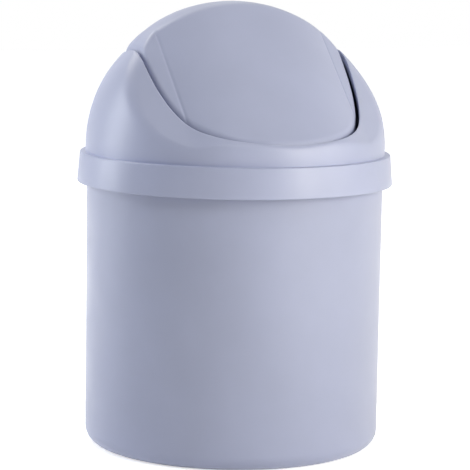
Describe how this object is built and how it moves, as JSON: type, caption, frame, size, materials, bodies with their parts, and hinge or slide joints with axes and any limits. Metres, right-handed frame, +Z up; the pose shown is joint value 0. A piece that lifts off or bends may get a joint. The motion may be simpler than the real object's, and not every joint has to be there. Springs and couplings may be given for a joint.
{
  "type": "swing-top waste bin",
  "caption": "Small round tabletop waste bin: a tapered tub, a domed hood that lifts off, and a roof-shaped flap that swings both ways.",
  "frame": {"origin": "centre of the tub's foot ring, on the surface the bin stands on", "axes": "+Z up, X along the flap's axis, -Y towards the front as pictured"},
  "size_m": [0.1464, 0.1464, 0.2062],
  "materials": {
    "tub": "satin",
    "hood": "satin",
    "swing_flap": "satin"
  },
  "bodies": {
    "tub_body": {"tub": "tub"},
    "hood_body": {"hood": "hood"},
    "flap_body": {"swing_flap": "swing_flap"}
  },
  "joints": [
    {"name": "hood_lift", "type": "slide", "parent": "tub_body", "child": "hood_body", "axis": [0, 0, 1], "range_m": [0, 0.08]},
    {"name": "flap_swing", "type": "hinge", "parent": "hood_body", "child": "flap_body", "pos_m": [0, -0.0002, 0.1798], "axis": [1, 0, 0], "range_deg": [-90, 90]}
  ]
}
